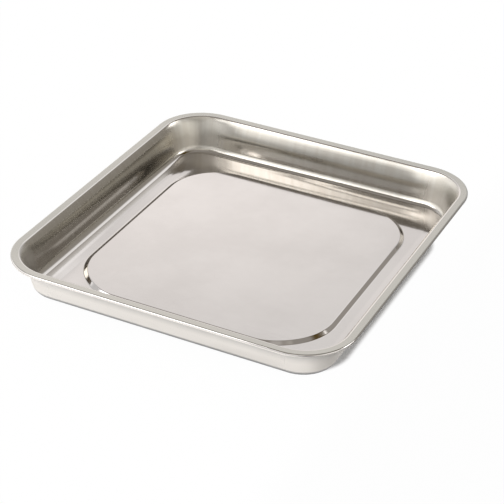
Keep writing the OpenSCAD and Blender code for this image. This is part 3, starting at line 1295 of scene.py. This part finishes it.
    def build(self, finishes: dict[Slot, bpy.types.Material], nodes: dict[str, bpy.types.Object]) -> None:
        """Builds and dresses every piece of the pods. The magnets keep the meshes of their nodes.

        Args:
            finishes: The material for each slot.
            nodes: The CAD nodes by name.
        """
        boots, cups = self.at_pods(self.boot()), self.at_pods(self.cup())
        for pod, boot, cup in zip(Pod, boots, cups):
            piece = make_piece(f"boot_{pod.place}", [boot])
            settle(piece, finishes[Slot.BLACK_RUBBER], f"rubber_boot_{pod.place}")
            piece = make_piece(f"cup_{pod.place}", [cup])
            settle(piece, finishes[Slot.CUP_STEEL], f"retainer_cup_{pod.place}")
            magnet_finishes = nodes[f"ring_magnet_{pod.place}"].data.materials
            magnet_finishes.clear()
            magnet_finishes.append(finishes[Slot.FERRITE])
        fixings = (("washers", self.washer()), ("nuts", self.nut()), ("weld_studs", self.stud()))
        for node, surface in fixings:
            piece = make_piece(f"zinc_{node}", self.at_pods(surface))
            settle(piece, finishes[Slot.ZINC_STEEL], node)


# The studio


@dataclass(frozen=True)
class Card:
    """A soft card of light far off, or of shade where its strength is negative.

    The turn is 0 towards +Y and goes clockwise from above. Half width, lowest and highest edge, and the fades
    at its sides, below and above it are in degrees.
    """

    turn: float
    half: float
    edges: tuple[float, float]
    strength: float
    fades: tuple[float, float, float] = (14.0, 8.0, 8.0)
    tint: Colour = WHITE

    def light(self, graph: Graph, plan: Socket, height: Socket) -> Socket:
        """Adds the card's light to a sky.

        The card is 1 inside its half width and between its edges, and fades smoothly to 0 outside them.

        Args:
            graph: The sky's graph.
            plan: Unit direction in plan.
            height: Sine of the direction's height.

        Returns:
            The card's colour in each direction.
        """
        turn, half = math.radians(self.turn), math.radians(self.half)
        (low, high), (side_fade, low_fade, high_fade) = self.edges, self.fades
        across = (math.sin(turn), math.cos(turn), 0.0)
        facing = graph.vector("DOT_PRODUCT", plan, across, output="Value")
        wide = math.cos(math.radians(self.half + side_fade))
        side = graph.remap(facing, wide, math.cos(half), 0.0, self.strength)
        sines = np.sin(np.radians((low - low_fade, low, high, high + high_fade))).tolist()
        above = graph.remap(height, *sines[:2])
        below = graph.remap(height, *sines[2:], 1.0, 0.0)
        level = graph.math("MULTIPLY", side, graph.math("MULTIPLY", above, below))
        inputs = {0: self.tint[:3], "Scale": level}
        return graph.add("ShaderNodeVectorMath", inputs, operation="SCALE").outputs[0]


@dataclass(frozen=True)
class Studio:
    """Floor, sky of soft lights and the camera of the photograph, with lengths in metres.

    The floor's colour turns from pale paper to a painted shadow over a span to the right of the tray. The
    sky's colour turns over sky_span, in sines of the height.
    """

    floor_half: float = 6.0
    # painted shadow: the second colour is dark grey painted on the floor to the right of the tray
    paper_and_painted_shadow_colours: tuple[Colour, Colour] = ((0.92, 0.92, 0.92, 1.0), (0.2, 0.2, 0.2, 1.0))
    painted_shadow_span: tuple[float, float] = (0.115, 0.155)
    floor_white_share: float = 0.985
    mirrored_white_share: float = 0.15
    shaded_half: tuple[float, float, float] = (0.134, 0.128, 0.0)
    shaded_r: float = 0.05
    shaded_edge: tuple[float, float] = (-0.017, -0.012)
    sky_low: Colour = (0.9, 0.9, 0.9, 1.0)
    sky_high: Colour = (0.44, 0.415, 0.38, 1.0)
    sky_span: tuple[float, float] = (0.66, 0.84)
    cards: tuple[Card, ...] = (
        Card(turn=-105.0, half=24.0, edges=(8.0, 26.0), strength=1.2, fades=(18.0, 8.0, 8.0)),
        Card(turn=-126.0, half=20.0, edges=(39.0, 50.0), strength=4.4, fades=(9.0, 3.0, 3.0)),
        Card(turn=-143.0, half=9.0, edges=(55.5, 57.5), strength=4.5, fades=(4.0, 1.5, 1.5)),
        Card(turn=-144.0, half=8.0, edges=(16.0, 38.0), strength=1.7, fades=(10.0, 12.0, 7.0)),
        Card(turn=-40.0, half=8.0, edges=(5.0, 27.0), strength=0.6, fades=(22.0, 8.0, 14.0), tint=ROSE),
        Card(turn=-12.0, half=18.0, edges=(37.0, 46.0), strength=0.5, fades=(8.0, 2.0, 5.0)),
        Card(turn=145.0, half=25.0, edges=(46.0, 66.0), strength=0.5, tint=CREAM),
        Card(turn=108.0, half=16.0, edges=(3.0, 30.0), strength=0.95, fades=(16.0, 8.0, 8.0), tint=IVORY),
        Card(turn=-165.0, half=8.0, edges=(44.0, 52.0), strength=1.6, fades=(5.0, 4.0, 3.0)),
        Card(turn=168.0, half=9.0, edges=(15.0, 28.0), strength=0.9, fades=(14.0, 5.0, 5.0)),
        Card(turn=42.0, half=18.0, edges=(0.0, 55.0), strength=-0.45, fades=(14.0, 8.0, 20.0), tint=COLD),
        Card(turn=132.0, half=11.0, edges=(30.0, 42.0), strength=-0.85, fades=(10.0, 12.0, 8.0)),
        Card(turn=154.0, half=4.0, edges=(0.0, 40.0), strength=-0.4, fades=(6.0, 8.0, 8.0)),
        Card(turn=158.0, half=8.0, edges=(60.0, 76.0), strength=0.2),
        Card(turn=-160.5, half=2.0, edges=(3.0, 16.0), strength=-0.28, fades=(2.5, 3.0, 8.0)),
        Card(turn=-169.0, half=4.0, edges=(8.0, 22.0), strength=0.3, fades=(3.0, 8.0, 8.0)),
        Card(turn=60.0, half=7.0, edges=(28.0, 42.0), strength=5.0, fades=(5.0, 4.0, 4.0)),
    )
    frame_px: int = 504
    focal_px: float = 1584.21
    sensor_mm: float = 36.0
    turn: float = math.radians(-25.7218)
    tilt: float = math.radians(31.6872)
    roll: float = math.radians(1.4872)
    distance: float = 1.1938
    aim_side: float = -0.003051
    aim_up: float = 0.025245
    aim_z: float = 0.0379

    def floor_material(self) -> bpy.types.Material:
        """Pale paper that takes the tray's shadow.

        The camera sees it mostly plain white and mirrors see it mostly as it is lit, with a painted shadow
        that turns it dark grey to the right of the tray. Below the tray both see it in full shade, inside a
        rounded rectangle: with q = |place| - half + r the distance from its edge is |max(q, 0)| - r. From
        below the floor is clear.

        Returns:
            The material.
        """
        material, graph = new_material("floor_paper")
        path = graph.add("ShaderNodeLightPath").outputs
        mirrored = graph.math("MAXIMUM", path["Is Glossy Ray"], path["Is Transmission Ray"])
        share = graph.math("MULTIPLY", path["Is Camera Ray"], self.floor_white_share)
        share = graph.math("ADD", share, graph.math("MULTIPLY", mirrored, self.mirrored_white_share))
        place = graph.add("ShaderNodeTexCoord").outputs["Object"]
        inner = tuple(max(half - self.shaded_r, 0.0) for half in self.shaded_half)
        past = graph.vector("SUBTRACT", graph.vector("ABSOLUTE", place), inner)
        past = graph.vector("LENGTH", graph.vector("MAXIMUM", past, (0.0, 0.0, 0.0)), output="Value")
        from_edge = graph.math("SUBTRACT", past, self.shaded_r)
        share = graph.math("MULTIPLY", share, graph.remap(from_edge, *self.shaded_edge))
        # painted shadow: the paper turns dark grey to the right of the tray, which mirrors show as shade
        colour = graph.mix(graph.remap(graph.split(place)[0], *self.painted_shadow_span), *self.paper_and_painted_shadow_colours)
        paper = graph.add("ShaderNodeBsdfDiffuse", {"Color": colour}).outputs[0]
        white = graph.add("ShaderNodeEmission", {"Color": WHITE, "Strength": 1.0}).outputs[0]
        mixed = graph.add("ShaderNodeMixShader", {0: share, 1: paper, 2: white}).outputs[0]
        behind = graph.add("ShaderNodeNewGeometry").outputs["Backfacing"]
        clear = graph.add("ShaderNodeBsdfTransparent").outputs[0]
        seen = graph.add("ShaderNodeMixShader", {0: behind, 1: mixed, 2: clear}).outputs[0]
        graph.add("ShaderNodeOutputMaterial", {"Surface": seen})
        return material

    def build_floor(self) -> None:
        """Lays the pale floor."""
        half = self.floor_half
        corners = [(-half, -half, 0.0), (half, -half, 0.0), (half, half, 0.0), (-half, half, 0.0)]
        mesh = bpy.data.meshes.new("floor")
        mesh.from_pydata(corners, [], [(0, 1, 2, 3)])
        mesh.materials.append(self.floor_material())
        floor = bpy.data.objects.new("floor", mesh)
        bpy.context.scene.collection.objects.link(floor)

    def build_sky(self) -> None:
        """Lights the scene from a sky that is pale at the horizon and has soft patches of light."""
        world = bpy.data.worlds.new("studio")
        bpy.context.scene.world = world
        world.use_nodes = True
        graph = Graph(world.node_tree)
        way = graph.add("ShaderNodeTexCoord").outputs["Generated"]
        height = graph.split(way)[2]
        plan = graph.vector("NORMALIZE", graph.vector("MULTIPLY", way, (1.0, 1.0, 0.0)))
        light = graph.mix(graph.remap(height, *self.sky_span), self.sky_low, self.sky_high)
        for card in self.cards:
            light = graph.vector("ADD", light, card.light(graph, plan, height))
        background = graph.add("ShaderNodeBackground", {"Color": light, "Strength": 1.0})
        graph.add("ShaderNodeOutputWorld", {"Surface": background.outputs[0]})

    def build_camera(self) -> None:
        """Puts the camera at the photograph's viewing angle, turned, tilted and rolled as found there."""
        cos_tilt = math.cos(self.tilt)
        cos_turn, sin_turn = math.cos(self.turn), math.sin(self.turn)
        forward = Vector((sin_turn * cos_tilt, cos_turn * cos_tilt, -math.sin(self.tilt)))
        level_right = Vector((cos_turn, -sin_turn, 0.0))
        level_up = level_right.cross(forward)
        right = math.cos(self.roll) * level_right + math.sin(self.roll) * level_up
        up = math.cos(self.roll) * level_up - math.sin(self.roll) * level_right
        aim = Vector((0.0, 0.0, self.aim_z)) - self.aim_side * right - self.aim_up * up
        place = aim - self.distance * forward
        data = bpy.data.cameras.new("camera")
        data.sensor_fit = "HORIZONTAL"
        data.sensor_width = self.sensor_mm
        data.lens = self.sensor_mm * self.focal_px / self.frame_px
        camera = bpy.data.objects.new("camera", data)
        axes = Matrix((right, up, -forward)).transposed().to_4x4()
        camera.matrix_world = Matrix.Translation(place) @ axes
        bpy.context.scene.collection.objects.link(camera)
        bpy.context.scene.camera = camera

    def build(self) -> None:
        """Builds the whole studio."""
        self.build_floor()
        self.build_sky()
        self.build_camera()
        bpy.context.scene.view_settings.view_transform = "Standard"


def main() -> None:
    """Loads the frame, builds the pan, the pods and the studio."""
    logging.basicConfig(level=logging.INFO, format="%(name)s %(message)s")
    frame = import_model()
    sheet, grain = rolled_sheet_group(), moulded_grain_group()
    finishes = {
        Slot.PRESSED_STEEL: PRESSED_STEEL.material(sheet, draw_lines_group()),
        Slot.ZINC_STEEL: ZINC_STEEL.material(sheet),
        Slot.CUP_STEEL: CUP_STEEL.material(sheet),
        Slot.FERRITE: FERRITE.material(grain),
        Slot.BLACK_RUBBER: BLACK_RUBBER.material(grain),
    }
    Pan().build(finishes[Slot.PRESSED_STEEL])
    Pods().build(finishes, frame["nodes"])
    Studio().build()


if __name__ == "__main__":
    main()
